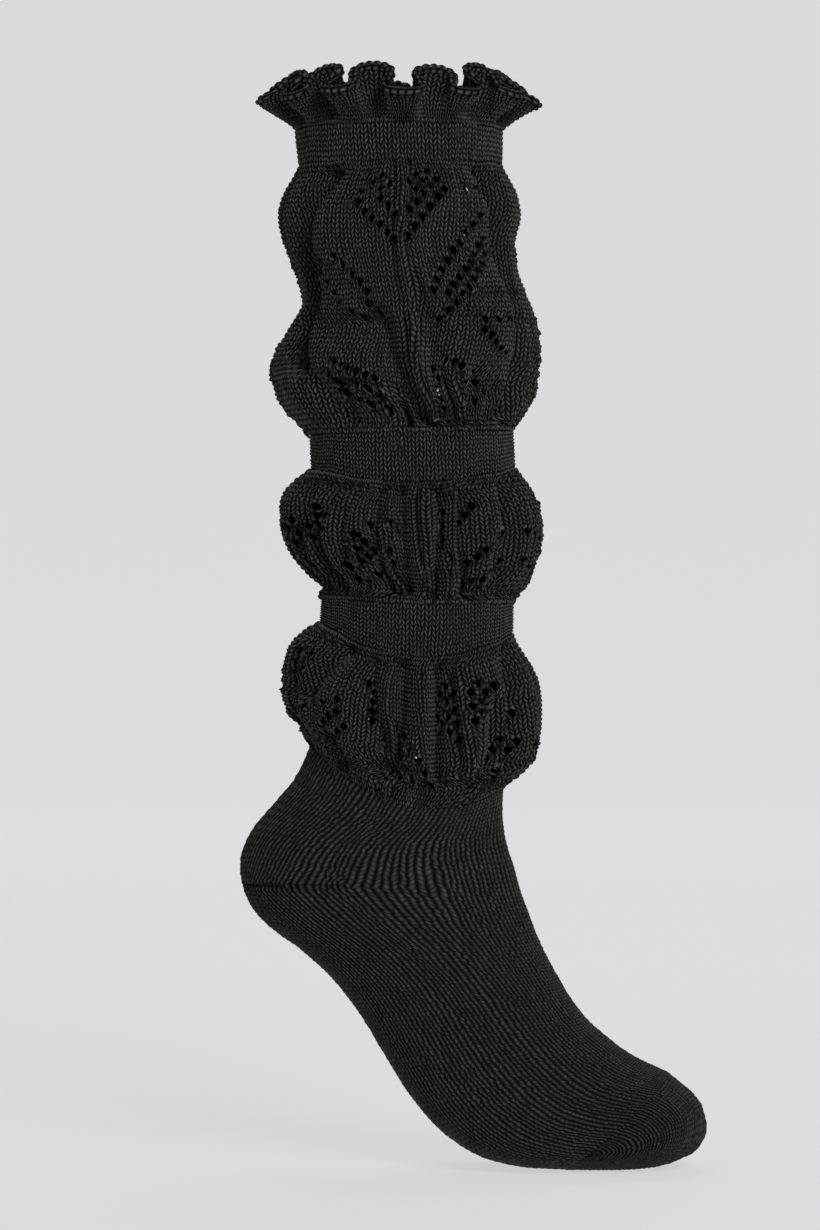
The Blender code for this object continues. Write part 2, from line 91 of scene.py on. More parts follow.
def yarn_material(name, gap_shade_colour, leg_colour, gap_power, notch_power):
    """Charcoal yarn with painted shade, darker by these powers, in the gaps between legs and the
    notches on them.
    """
    material = bpy.data.materials.new(name)
    material.use_nodes = True
    tree = material.node_tree
    shader = tree.nodes["Principled BSDF"]
    stitch = add_node(tree, "ShaderNodeUVMap", uv_map="stitches").outputs["UV"]
    wale, course = add_node(tree, "ShaderNodeSeparateXYZ", {0: stitch}).outputs[:2]
    legs = add_node(tree, "ShaderNodeVectorMath", {
        0: stitch, 1: (2.0, 1.0, 1.0)}, operation="MULTIPLY").outputs[0]
    own_leg = add_node(tree, "ShaderNodeVectorMath", {0: legs}, operation="FLOOR").outputs[0]
    dye = add_node(tree, "ShaderNodeTexWhiteNoise", {
        "Vector": own_leg}, noise_dimensions="2D").outputs["Value"]
    place = add_node(tree, "ShaderNodeTexCoord").outputs["Object"]
    fibre = add_node(tree, "ShaderNodeTexNoise", {
        "Vector": place, "Scale": FIBRE_SCALE, "Detail": 3.0, "Roughness": 0.7}).outputs["Fac"]
    patch = add_node(tree, "ShaderNodeTexNoise", {
        "Vector": place, "Scale": PATCH_SCALE, "Detail": 2.0}).outputs["Fac"]

    # The leg is 0 at the gaps and in the middle of a wale and 1 on its two legs, and the bead
    # is 0 where two stitches of a leg meet.
    value = {"wale": wale, "course": course, "dye": dye, "fibre": fibre, "patch": patch}
    for result, operation, *inputs in (
        ("leg_turn",    "MULTIPLY",     "wale", 4 * math.pi),
        ("leg_wave",    "COSINE",       "leg_turn"),
        ("leg",         "MULTIPLY_ADD", "leg_wave", -0.5, 0.5),
        ("bead_turn",   "MULTIPLY",     "course", 2 * math.pi),
        ("bead_wave",   "COSINE",       "bead_turn"),
        ("bead",        "MULTIPLY_ADD", "bead_wave", -0.5, 0.5),
        ("leg_there",   "POWER",        "leg", gap_power),
        ("bead_there",  "POWER",        "bead", notch_power),
        ("yarn_there",  "MULTIPLY",     "leg_there", "bead_there"),
        ("across_leg",  "PINGPONG",     "wale", 0.5),
        ("slanting",    "MULTIPLY",     "across_leg", STRAND_SLANT),
        ("strands",     "MULTIPLY_ADD", "course", STRANDS_PER_STITCH, "slanting"),
        ("strand_turn", "MULTIPLY",     "strands", 2 * math.pi),
        ("strand_wave", "COSINE",       "strand_turn"),
        ("strand",      "MULTIPLY_ADD", "strand_wave", STRAND_HEIGHT / 2, 1 + STRAND_HEIGHT / 2),
        ("ply_height",  "MULTIPLY",     "strand", "yarn_there"),
        ("height",      "MULTIPLY_ADD", "fibre", FIBRE_HEIGHT, "ply_height"),
        ("mottle",      "ADD",          "patch", "dye"),
        ("tint",        "MULTIPLY_ADD", "mottle", 0.45, 0.4),
        # Lit is low in the gaps and notches, where it paints shade into the colour, gloss and
        # sheen; elsewhere it follows the dye.
        ("lit",         "MULTIPLY",     "yarn_there", "tint"),
        ("gloss",       "MULTIPLY",     "lit", YARN_GLOSS),
        ("sheen",       "MULTIPLY",     "lit", YARN_SHEEN),
    ):
        sockets = {i: value[v] if isinstance(v, str) else v for i, v in enumerate(inputs)}
        value[result] = add_node(tree, "ShaderNodeMath", sockets, operation=operation).outputs[0]
    # Base colour: painted shade in the gaps and notches, the yarn's own colour on the legs.
    tone = add_node(tree, "ShaderNodeMix", {
        "Factor": value["lit"], "A": linear(gap_shade_colour), "B": linear(leg_colour)}, data_type="RGBA")
    bump = add_node(tree, "ShaderNodeBump", {
        "Height": value["height"], "Strength": 1.0, "Distance": YARN_BUMP})
    tree.links.new(tone.outputs["Result"], shader.inputs["Base Color"])
    tree.links.new(bump.outputs["Normal"], shader.inputs["Normal"])
    # Gloss and sheen fade in the gaps and notches as painted shade.
    tree.links.new(value["gloss"], shader.inputs["Specular IOR Level"])
    tree.links.new(value["sheen"], shader.inputs["Sheen Weight"])
    shader.inputs["Roughness"].default_value = 0.85
    shader.inputs["Sheen Roughness"].default_value = 0.4
    shader.inputs["Sheen Tint"].default_value = linear(FUZZ)
    return material


relaxed_yarn = yarn_material("charcoal_yarn_relaxed", CHARCOAL_GAP_SHADE, CHARCOAL_LEG, 1.1, 0.8)
stretched_yarn = yarn_material("charcoal_yarn_stretched", STRETCHED_GAP_SHADE, STRETCHED_LEG, 1.3, 0.2)

# ------------------------------------------------------------
# Cuff band. Plain stockinette that grips the leg below the knee. It is worked from the top
# down, so that each wale is a column of arrowheads pointing up the leg.

MM = 0.001
POINTS_ACROSS = 4     # the gap between two wales, a leg, the middle of the wale, the other leg
POINTS_DOWN = 3
WALE_WIDTH = 3.3      # sizes of a stitch, used where its neighbours make room for an eyelet
COURSE_HEIGHT = 2.05
# How far each point of a stitch stands out, a row for each third of its height. The columns are
# sheared, by the share of a course that the second table gives, so that the legs lie as a V.
RELAXED_STITCH = np.array((
    # gap   leg    middle leg
    (-0.56, -0.20, -0.42, -0.20),
    (-0.66, 0.44, -0.32, 0.44),
    (-0.60, 0.38, -0.36, 0.38),
)), np.array((-0.62, 0.0, 0.50, 0.0))
# Pulled tight over the foot, the legs close up into ridges, with a ladder of pits between them.
STRETCHED_STITCH = np.array((
    (-0.30, 0.20, -0.62, 0.20),
    (-0.68, 0.38, -0.60, 0.38),
    (-0.64, 0.36, -0.26, 0.36),
)), np.array((-0.46, 0.0, 0.38, 0.0))
TUCK = 0.5            # millimetres by which a first course lies behind the piece above
LIP = 0.8             # millimetres by which each end goes on inwards, behind its neighbour
UNEVENNESS = 0.07     # millimetres by which hand tension lifts or sinks a stitch
UNEVEN_STITCH = 0.045 # share of a stitch by which it shifts one
DRIFT = 0.07          # stitches by which wales and courses wander
PAST_END = 0.6        # courses by which the last zigzag may stand over the next piece
SIDE_STEP = 0.3       # stitches over which the cloth's direction is measured
DOWN_STEP = 0.4
EYELET_RADIUS = 1.4   # millimetres by which an eyelet pushes its nearest points aside
EYELET_REACH = 3.4    # millimetres from its middle over which it does
ROWS_MOVED = 5        # points to each side that may be within that reach
COLUMNS_MOVED = 6
EYELET_HALF = 1.75    # radius of the hole, and heights of the yarn round it and at its edge
EYELET_RIM = 0.45
EYELET_EDGE = 0.135
EYELET_DEPTH = 1.4    # the edge turns in by this much, and widens there
EYELET_WIDENING = 0.10
DECREASE_HEIGHT = 0.8
DECREASE_ASIDE = 2.7  # millimetres from a line of eyelets to the ridges beside it
STEM_HEIGHT = 1.7
STEM_GROOVE = 2.2

CUFF_WALES = 84
CUFF_COURSES = 7
CUFF_TOP = (6.0, 6.0, 6.0)         # heights of the join at the calf, the sides and the shin
CUFF_LOW = (-9.0, -9.9, -8.5)
CUFF_OUTLINE = (
    # down  calf    shin   half_width
    (0.0,  -45.0,  44.0,  42.0),
    (1.0,  -43.4,  43.6,  41.5),
)


def through(rows, at):
    """A table's other columns where its first one is at, on a smooth curve through its rows."""
    table = np.array(rows)
    place, values = table[:, 0], table[:, 1:]
    slope = np.gradient(values, place, axis=0)
    index = np.clip(np.searchsorted(place, at) - 1, 0, len(place) - 2)
    step = (place[index + 1] - place[index])[..., None]
    x = (at - place[index])[..., None] / step
    return np.moveaxis(
        values[index] * (2 * x**3 - 3 * x**2 + 1)
        + slope[index] * step * (x**3 - 2 * x**2 + x)
        + values[index + 1] * (3 * x**2 - 2 * x**3)
        + slope[index + 1] * step * (x**3 - x**2), -1, 0)


def ease(x):
    """0 below 0, 1 above 1, and a smooth rise between them."""
    x = np.clip(x, 0, 1)
    return x * x * (3 - 2 * x)


def across(angle):
    """Shares of the way to the shin (1) or calf (-1), and to the inner (1) or outer side (-1)."""
    radians = np.radians(angle)
    return np.sin(radians), -np.cos(radians)


def sagging(calf, side, shin, to_shin):
    """Height of a loop that leans from the calf to the shin and sags at the sides."""
    middle = (calf + shin) / 2
    return middle + (shin - calf) / 2 * to_shin + (side - middle) * (1 - to_shin**2)


def leg_surface(outline, top, low, pressed_by=None):
    """A stretch of the leg between two joins, as a function of the angle and the share down."""
    def surface(angle, down):
        calf, shin, half = through(outline, down)
        to_shin, to_inner = across(angle)
        reach = (shin - calf) / 2
        radius = np.hypot(reach * to_shin, half * to_inner)
        pressed = pressed_by(angle, down) if pressed_by else 0.0
        share = (radius - pressed) / radius
        high = sagging(*top, to_shin)
        height = high + (sagging(*low, to_shin) - high) * down
        return np.stack([
            (calf + shin) / 2 + reach * to_shin * share, half * to_inner * share, height], -1)
    return surface


def even_angles(surface):
    """The angle at each share of the way round, such that all wales are as wide, in folds too."""
    levels, turns = 48, 480
    sampled = np.linspace(0, 360, 1081)
    table = []
    for level in np.linspace(0, 1, levels + 1):
        points = surface(sampled, np.full_like(sampled, level))
        length = np.append(0, np.cumsum(np.linalg.norm(np.diff(points, axis=0), axis=1)))
        table.append(np.interp(np.linspace(0, 1, turns + 1), length / length[-1], sampled))
    table = np.array(table)

    def angle_at(turn, down):
        row = np.clip(down, 0, 1) * levels
        column = (turn % 1) * turns
        r, c = np.minimum(row.astype(int), levels - 1), np.minimum(column.astype(int), turns - 1)
        y, x = row - r, column - c
        return ((table[r, c] * (1 - x) + table[r, c + 1] * x) * (1 - y)
                + (table[r + 1, c] * (1 - x) + table[r + 1, c + 1] * x) * y)
    return angle_at


def drifted(draw, turn, course):
    """How far the stitches wander, in stitches, as slow waves that meet after a whole round."""
    wander = np.zeros_like(turn)
    for waves in (3, 5, 8, 11, 15):
        wander += DRIFT * np.sin(
            2 * np.pi * waves * turn + course * draw.uniform(-0.16, 0.16) + draw.uniform(0, 6.3))
    return wander


def charted(lines):
    """Wale and course of each eyelet of a chart's lines of (wale, course, across, down, count)."""
    return [(w + across * k, c + down * k)
            for w, c, across, down, count in lines for k in range(count)]


def decreases(lines, wale, course, wales):
    """Ridges of stitches knitted together, on both sides of each line of three eyelets or more."""
    ridge = np.zeros_like(wale)
    for w, c, across, down, count in lines:
        if count < 3:
            continue
        along = np.array((across * WALE_WIDTH, down * COURSE_HEIGHT))
        length = np.linalg.norm(along)
        aside = ((wale - w - 0.5 + wales / 2) % wales - wales / 2) * WALE_WIDTH
        below = (course - c - 0.33) * COURSE_HEIGHT
        onward = (aside * along[0] + below * along[1]) / length
        beside = (aside * along[1] - below * along[0]) / length
        there = ease((onward + 3) / 3) * ease(((count - 1) * length + 3 - onward) / 3)
        ridge += there * DECREASE_HEIGHT * np.exp(-((np.abs(beside) - DECREASE_ASIDE) / 0.8) ** 2)
    return ridge


def stem_ribs(stems, wale, course, wales):
    """The raised wale of each stem of (wale, first course, last course), between two grooves."""
    raised = np.zeros_like(wale)
    for w, start, end in stems:
        away = np.abs((wale - w - 0.5 + wales / 2) % wales - wales / 2)
        shown = ease((course - start) / 2) * ease((end - course) / 2)
        rib, groove = np.exp(-(away / 0.6) ** 2), np.exp(-((away - 1.35) / 0.5) ** 2)
        raised += shown * (STEM_HEIGHT * rib - STEM_GROOVE * groove)
    return raised


def knitted(name, place, wales, courses, closed=True, eyelets=(), stems=(), lift=None,
            tucked=True, over=True, stretched=False):
    """A knitted piece. Place gives its points at shares round and down."""
    columns = wales * POINTS_ACROSS + (0 if closed else 1)
    behind = 1 if tucked else 0
    rows = (courses + behind) * POINTS_DOWN + 1
    column, row = np.meshgrid(np.arange(columns), np.arange(rows))
    wale, course = column / POINTS_ACROSS, row / POINTS_DOWN - behind
    # A tucked piece has one more course behind the last one of the piece above, and the zigzag of
    # a last course stands over the piece below. An end that does neither is straight.
    relief, shear = STRETCHED_STITCH if stretched else RELAXED_STITCH
    from_end = course + behind if over else np.minimum(course + behind, courses - course)
    near_end = np.clip(from_end, 0, 1)
    draw = np.random.default_rng(len(name) * 97 + wales)
    uneven = draw.normal(0, 1, (3, courses + 2, wales + 1))
    uneven = uneven[:, row // POINTS_DOWN, column // POINTS_ACROSS]
    round_at = (wale + UNEVEN_STITCH * uneven[0] * near_end
                + drifted(draw, wale / wales, course) * near_end)
    down_at = course + (shear[column % POINTS_ACROSS] + UNEVEN_STITCH * uneven[1]
                        + drifted(draw, wale / wales, course)) * near_end
    height = relief[row % POINTS_DOWN, column % POINTS_ACROSS] + UNEVENNESS * uneven[2]
    if lift is not None:
        height += lift(round_at, down_at)
    height += decreases(eyelets, round_at, down_at, wales)
    height += stem_ribs(stems, round_at, down_at, wales)
    if tucked:
        height -= TUCK * (1 - ease((course + 0.4) / 0.9))

    # An eyelet opens at the middle of a stitch, and the stitches round it move aside.
    opened = [(w * POINTS_ACROSS + 2, round((c + behind) * POINTS_DOWN) + 1)
              for w, c in charted(eyelets)]
    for centre, middle in opened:
        rows_near = np.arange(max(middle - ROWS_MOVED, 0), min(middle + ROWS_MOVED + 1, rows))
        columns_near = np.arange(centre - COLUMNS_MOVED, centre + COLUMNS_MOVED + 1)
        near = np.ix_(rows_near, columns_near % columns)
        aside = round_at[near] - round_at[middle, centre % columns]
        aside = ((aside + wales / 2) % wales - wales / 2) * WALE_WIDTH
        below = (down_at[near] - down_at[middle, centre % columns]) * COURSE_HEIGHT
        steps_down, steps_across = np.meshgrid(
            rows_near - middle, columns_near - centre, indexing="ij")
        touching = np.maximum(np.abs(steps_down), np.abs(steps_across)) == 1
        distance = np.maximum(np.hypot(aside, below), 1e-6)
        pushed = 1 + np.maximum(EYELET_RADIUS * (1 - distance / EYELET_REACH), 0) / distance
        corner = np.hypot(steps_down, steps_across) + 1e-9
        new_aside = np.where(touching, EYELET_HALF * steps_across / corner, aside * pushed)
        new_below = np.where(touching, EYELET_HALF * steps_down / corner, below * pushed)
        round_at[near] += (new_aside - aside) / WALE_WIDTH
        down_at[near] += (new_below - below) / COURSE_HEIGHT
        rim = np.exp(-((np.hypot(new_aside, new_below) - EYELET_HALF - 0.5) / 0.6) ** 2)
        height[near] = np.where(touching, EYELET_EDGE, height[near] + EYELET_RIM * rim)

    def at(u, v):
        return place(u / wales, np.clip(v, -behind, courses + PAST_END) / courses)
    sideways = at(round_at + SIDE_STEP, down_at) - at(round_at - SIDE_STEP, down_at)
    downwards = at(round_at, down_at + DOWN_STEP) - at(round_at, down_at - DOWN_STEP)
    normal = np.cross(downwards, sideways)
    normal /= np.maximum(np.linalg.norm(normal, axis=2, keepdims=True), 1e-9)
    points = at(round_at, down_at) + normal * height[..., None]

    index = np.arange(rows * columns).reshape(rows, columns)
    after = np.roll(index, -1, axis=1) if closed else index[:, 1:]
    before = index if closed else index[:, :-1]
    quads = np.stack([before[:-1], before[1:], after[1:], after[:-1]], -1).reshape(-1, 4)
    left, top = column[:, :before.shape[1]], row[:, :before.shape[1]]
    corner_u = np.stack([left[:-1], left[1:], left[1:] + 1, left[:-1] + 1], -1).reshape(-1, 4)
    corner_v = np.stack([top[:-1], top[1:], top[1:], top[:-1]], -1).reshape(-1, 4)
    points = points.reshape(-1, 3)
    if opened:
        middles = np.array([m * columns + c % columns for c, m in opened])
        kept = ~np.isin(quads, middles).any(axis=1)
        quads, corner_u, corner_v = quads[kept], corner_u[kept], corner_v[kept]
        ring = ((-1, -1), (0, -1), (1, -1), (1, 0), (1, 1), (0, 1), (-1, 1), (-1, 0))
        outer = np.array([
            [(m + dy) * columns + (c + dx) % columns for dx, dy in ring] for c, m in opened])
        centres = points[outer].mean(axis=1, keepdims=True)
        flat_normal = normal.reshape(-1, 3)[middles][:, None, :]
        turned_in = (points[outer] + (points[outer] - centres) * EYELET_WIDENING
                     - flat_normal * EYELET_DEPTH)
        inner = len(points) + np.arange(outer.size).reshape(outer.shape)
        points = np.concatenate([points, turned_in.reshape(-1, 3)])
        ring_u = np.array([[c + dx for dx, dy in ring] for c, m in opened])
        ring_v = np.array([[m + dy for dx, dy in ring] for c, m in opened])
        quads, corner_u, corner_v = (
            np.concatenate([corners, np.stack([
                np.roll(edge, -1, 1), edge, far, np.roll(far, -1, 1)], -1).reshape(-1, 4)])
            for corners, edge, far in (
                (quads, outer, inner), (corner_u, ring_u, ring_u), (corner_v, ring_v, ring_v)))

    if closed:
        for edge, inner_way in ((index[0], -1), (index[-1], 1)):
            lip = len(points) + np.arange(columns)
            points = np.concatenate([points, points[edge] - normal.reshape(-1, 3)[edge] * LIP])
            ends = [np.roll(edge, -1), edge, lip, np.roll(lip, -1)]
            quads = np.concatenate([quads, np.stack(ends[::inner_way], -1)])
            lip_u = np.stack([column[0] + 1, column[0], column[0], column[0] + 1][::inner_way], -1)
            corner_u = np.concatenate([corner_u, lip_u])
            corner_v = np.concatenate([corner_v, np.zeros_like(lip_u)])

    used = np.unique(quads)
    renumbered = np.full(len(points), -1)
    renumbered[used] = np.arange(len(used))
    mesh = bpy.data.meshes.new(name)
    mesh.from_pydata((points[used] * MM).tolist(), [], renumbered[quads].tolist())
    stitches = mesh.uv_layers.new(name="stitches")
    uv = np.stack([corner_u / POINTS_ACROSS, corner_v / POINTS_DOWN], -1)
    stitches.data.foreach_set("uv", uv.astype(np.float32).ravel())
    mesh.materials.append(stretched_yarn if stretched else relaxed_yarn)
    mesh.shade_smooth()
    mesh.update()
    piece = bpy.data.objects.new(name, mesh)
    bpy.context.scene.collection.objects.link(piece)
    return piece


def evenly_placed(surface):
    """Points of a surface at shares round and down, with all wales as wide."""
    angle_at = even_angles(surface)
    return lambda turn, down: surface(angle_at(turn, down), down)


def declare(piece, nodes):
    """Hangs the piece on the one body, and hides the parts of model.glb that it stands for."""
    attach(piece, "root")
    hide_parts(*nodes)


cuff_surface = evenly_placed(leg_surface(CUFF_OUTLINE, CUFF_TOP, CUFF_LOW))
cuff_band = knitted("cuff_band_knit", cuff_surface, CUFF_WALES, CUFF_COURSES)
declare(cuff_band, ["cuff_band"])

# ------------------------------------------------------------
# Ruffle. A frill of twice as many stitches as the cuff, which has nowhere to go but in and out
# in flutes. Rows of purl bumps finish its rim and stop it from rolling.

RUFFLE_WALES = 164
RUFFLE_COURSES = 13
RUFFLE_WAVES = 13
RUFFLE_PHASE = 2.35        # degrees from the outer side to the crest of the nearest flute
RUFFLE_SWELL = 0.85        # how far flutes swell sideways above their necks, in the wave's radians
RUFFLE_CENTRE_X = -0.5
RUFFLE_FLATTENING = 0.944  # half width in Y over half width in X
RUFFLE_ROWS = (
    # up     radius  wave  height_in height_out
    (0.00,   44.5,   0.0,   6.0,      6.0),
    (0.20,   46.0,   3.2,   11.0,     10.0),
    (0.48,   49.8,   6.5,   18.6,     14.8),
    (0.80,   52.4,   7.2,   27.0,     18.4),
    (1.00,   52.4,   6.6,   31.4,     20.0),
)
RUFFLE_WALL = 1.7
RIM_BUMPS = 208
POINTS_A_BUMP = 4
ROLL_POINTS = 16
RIM_RADIUS = 1.6
RIM_BUMP = 1.0
RIM_SUNK = 1.3             # how far the roll's middle is below the edge of the cloth
RIM_STEP = 0.0005          # shares of the round and of the depth over which its ways are measured
INTO_CLOTH = 0.12


def ruffle_surface(angle, down):
    up = 1 - down
    radius, wave, height_in, height_out = through(RUFFLE_ROWS, up)
    phase = np.radians(RUFFLE_WAVES * (angle - RUFFLE_PHASE))
    phase = phase + up * (
        0.30 * np.sin(np.radians(3 * angle) + 3.0) + 0.24 * np.sin(np.radians(5 * angle) + 3.0))
    full = 1 + 0.14 * np.sin(np.radians(4 * angle) + 2.0) + 0.10 * np.sin(np.radians(7 * angle))
    swung = RUFFLE_SWELL * np.sin(2 * phase) * ease(up * 1.4)
    to_shin, to_inner = across(angle + np.degrees(swung / RUFFLE_WAVES))
    reach = radius + wave * full * np.cos(phase)
    height = height_in + (height_out - height_in) * (1 + np.cos(phase)) / 2
    height = height - up * (0.9 + 0.9 * np.sin(np.radians(5 * angle) + 0.6))
    return np.stack([
        RUFFLE_CENTRE_X + reach * to_shin, reach * RUFFLE_FLATTENING * to_inner, height], -1)


ruffle_place = evenly_placed(ruffle_surface)
ruffle = knitted("ruffle_knit", ruffle_place, RUFFLE_WALES, RUFFLE_COURSES, tucked=False)
thickness = ruffle.modifiers.new("thickness", "SOLIDIFY")
thickness.thickness = RUFFLE_WALL * MM
thickness.offset = -1.0
bpy.context.view_layer.objects.active = ruffle
bpy.ops.object.modifier_apply(modifier="thickness")

# The rim is a roll with four rows of purl bumps. The upper rows lie on the lower ones like bricks.
bump, turn_of_roll = np.meshgrid(
    np.arange(RIM_BUMPS * POINTS_A_BUMP), np.arange(ROLL_POINTS), indexing="ij")
along_rim = bump / (RIM_BUMPS * POINTS_A_BUMP)
no_way_down = np.zeros_like(along_rim)
on_rim = ruffle_place(along_rim, no_way_down)
rim_way = (ruffle_place(along_rim + RIM_STEP, no_way_down)
           - ruffle_place(along_rim - RIM_STEP, no_way_down))
rim_down = ruffle_place(along_rim, no_way_down + INTO_CLOTH) - on_rim
rim_down /= np.linalg.norm(rim_down, axis=2, keepdims=True)
rim_out = np.cross(rim_down, rim_way)
rim_out /= np.linalg.norm(rim_out, axis=2, keepdims=True)
roll_angle = np.radians(360 / ROLL_POINTS * turn_of_roll)
upper_half = np.sin(roll_angle) > 0
brick = np.sqrt(0.5 + 0.5 * np.cos(2 * np.pi * (bump / POINTS_A_BUMP + 0.5 * upper_half)))
roll_radius = RIM_RADIUS + RIM_BUMP * np.abs(np.sin(2 * roll_angle)) ** 0.7 * brick
rim_points = (
    on_rim + rim_down * (RIM_SUNK - roll_radius * np.sin(roll_angle))[..., None]
    + rim_out * (roll_radius * np.cos(roll_angle) - RUFFLE_WALL / 2)[..., None])
index = np.arange(bump.size).reshape(bump.shape)
after, beside = np.roll(index, -1, axis=0), np.roll(index, -1, axis=1)
quads = np.stack([index, after, np.roll(after, -1, axis=1), beside], -1).reshape(-1, 4)
rim_mesh = bpy.data.meshes.new("ruffle_rim")
rim_mesh.from_pydata((rim_points.reshape(-1, 3) * MM).tolist(), [], quads.tolist())
rim_u = np.stack([bump, bump + 1, bump + 1, bump], -1) / (2 * POINTS_A_BUMP)
rim_u = rim_u + 0.25 * upper_half[..., None]
rim_v = np.stack([turn_of_roll, turn_of_roll, turn_of_roll + 1, turn_of_roll + 1], -1) / 4
rim_mesh.uv_layers.new(name="stitches").data.foreach_set(
    "uv", np.stack([rim_u, rim_v], -1).astype(np.float32).ravel())
rim_mesh.materials.append(relaxed_yarn)
rim_mesh.shade_smooth()
rim = bpy.data.objects.new("ruffle_rim", rim_mesh)
bpy.context.scene.collection.objects.link(rim)
rim.select_set(True)
ruffle.select_set(True)
bpy.ops.object.join()
declare(ruffle, ["ruffle"])

# ------------------------------------------------------------
# Upper puff. A long full stretch of stockinette with leaves in eyelets. Two stitches more for
# each seven of the cuff are made below it and gathered off at the next band, so that it bags.

UPPER_WALES = 108
UPPER_COURSES = 55
UPPER_LOW = (-125.0, -124.8, -123.2)
UPPER_OUTLINE = (
    # down  calf    shin   half_width
    (0.00, -43.4,  43.6,  41.5),
    (0.05, -46.5,  46.8,  45.0),
    (0.10, -49.4,  49.8,  48.0),
    (0.18, -52.3,  51.4,  50.5),
    (0.30, -49.8,  49.2,  51.5),
    (0.42, -43.2,  51.6,  51.0),
    (0.50, -42.0,  55.2,  51.5),
    (0.60, -48.0,  58.8,  53.0),
    (0.72, -53.8,  60.0,  54.5),
    (0.83, -53.4,  58.2,  53.5),
    (0.93, -46.6,  54.2,  48.0),
    (1.00, -38.6,  48.4,  41.0),
)
UPPER_FOLDS = (
    # top   low   bow  depth  half from  to
    ( -80,  -84,    0,   3.5,    9, 0.00, 0.45),
    ( -38,  -34,  -31,  13.2,   11, 0.00, 0.84),
    (-132,  -25,    0,   6.4,   12, 0.66, 1.00),
    ( -55,   11,    0,  15.5,   12, 0.50, 1.00),
    ( 335, -241,    0,   4.8,   10, 0.46, 0.61),
    (  -4,   -1,    0,  11.2,    9, 0.70, 1.00),
    ( -23,  -26,    0,   3.8,  6.5, 0.00, 0.18),
    ( -30,  -28,    0,   6.1,    7, 0.76, 1.00),
    ( -17,  -14,    0,   5.2,    6, 0.80, 1.00),
    (  -2,   11,    0,  -2.4,    7, 0.00, 1.00),
    ( -12,   21,    0,  10.5,   10, 0.48, 1.00),
    (  17,   19,    0,   3.5,  6.5, 0.00, 0.16),
    (  30,   33,    0,   6.6,    7, 0.72, 1.00),
    (  44,   44,    0,   5.2,  6.5, 0.78, 1.00),
    (  50,   56,   13,  12.2,   11, 0.00, 1.00),
    (  84,   76,    0,   4.0,    9, 0.30, 1.00),
    ( 101,  106,   10,   6.2,   11, 0.00, 0.80),
    ( 124,  118,    0,   7.4,    8, 0.50, 1.00),
    ( 136,  150,  -14,  11.9,   12, 0.00, 1.00),
    ( 166,  168,    0,   5.5,    7, 0.00, 0.30),
    ( 196,  176,    0,  10.3,   10, 0.40, 1.00),
    ( 190,  200,   16,   9.4,   11, 0.00, 0.72),
    ( 222,  214,    0,   7.0,    8, 0.62, 1.00),
    ( 232,  240,  -12,  12.2,   12, 0.00, 1.00),
    ( 256,  258,    0,   4.3,    9, 0.48, 1.00),
)
FOLD_FADE = 0.12         # share of a puff's height over which a fold comes in and goes out
CREASE_ROUNDING = 0.03
MM_A_DEGREE = 0.87       # round the leg, at a puff's usual radius
CRUMPLE = 0.6            # millimetres by which the cloth between the folds is uneven
CREASE_SHARPNESS = 1.6
CREASE_SHARE = 0.72      # of a fold's depth, and the rest is a soft trough that is this much wider
TROUGH_WIDTH = 1.8
GATHERS = 46             # fine pleats round each end of a puff
GATHER_DEPTH = 1.2
GATHER_LENGTH = 8.0      # millimetres from the band over which they open out
HOLD_LENGTH = 6.0        # millimetres from the band over which the folds deepen


def folded(folds, tall):
    """How far the folds and the gathers at both ends press a puff of that height in."""
    def pressed_by(angle, down):
        pressed, raised = np.zeros_like(angle), np.zeros_like(angle)
        for top, low, bow, depth, half_width, start, end in folds:
            middle = top + (low - top) * down + bow * np.sin(np.pi * down)
            lean = (low - top + bow * np.pi * np.cos(np.pi * down)) * MM_A_DEGREE / tall
            away = np.abs((angle - middle + 180) % 360 - 180) / half_width / np.hypot(1, lean)
            away = np.sqrt(away**2 + CREASE_ROUNDING**2) - CREASE_ROUNDING
            fade = min(FOLD_FADE, (end - start) / 3)
            shown = (ease((down - start) / fade + (start == 0))
                     * ease((end - down) / fade + (end == 1)))
            crease = np.clip(1 - away, 0, 1) ** CREASE_SHARPNESS
            moved = depth * shown * (
                CREASE_SHARE * crease + (1 - CREASE_SHARE) * ease(1 - away / TROUGH_WIDTH))
            pressed = np.maximum(pressed, moved)
            raised = np.minimum(raised, moved)
        from_band = np.minimum(down, 1 - down) * tall
        pleat = 0.5 + 0.5 * np.cos(
            np.radians(GATHERS * angle) + 1.4 * np.sin(np.radians(5 * angle)))
        fine = GATHER_DEPTH * pleat * ease(from_band / 2.0) * np.exp(-from_band / GATHER_LENGTH)
        crumple = CRUMPLE * ease(from_band / 12) * (
            np.sin(np.radians(9 * angle) + 5 * down) * np.sin(tall / 9 * down + 1)
            + 0.7 * np.sin(np.radians(16 * angle) - tall / 11 * down))
        return (pressed + raised) * ease(from_band / HOLD_LENGTH) + crumple + fine
    return pressed_by


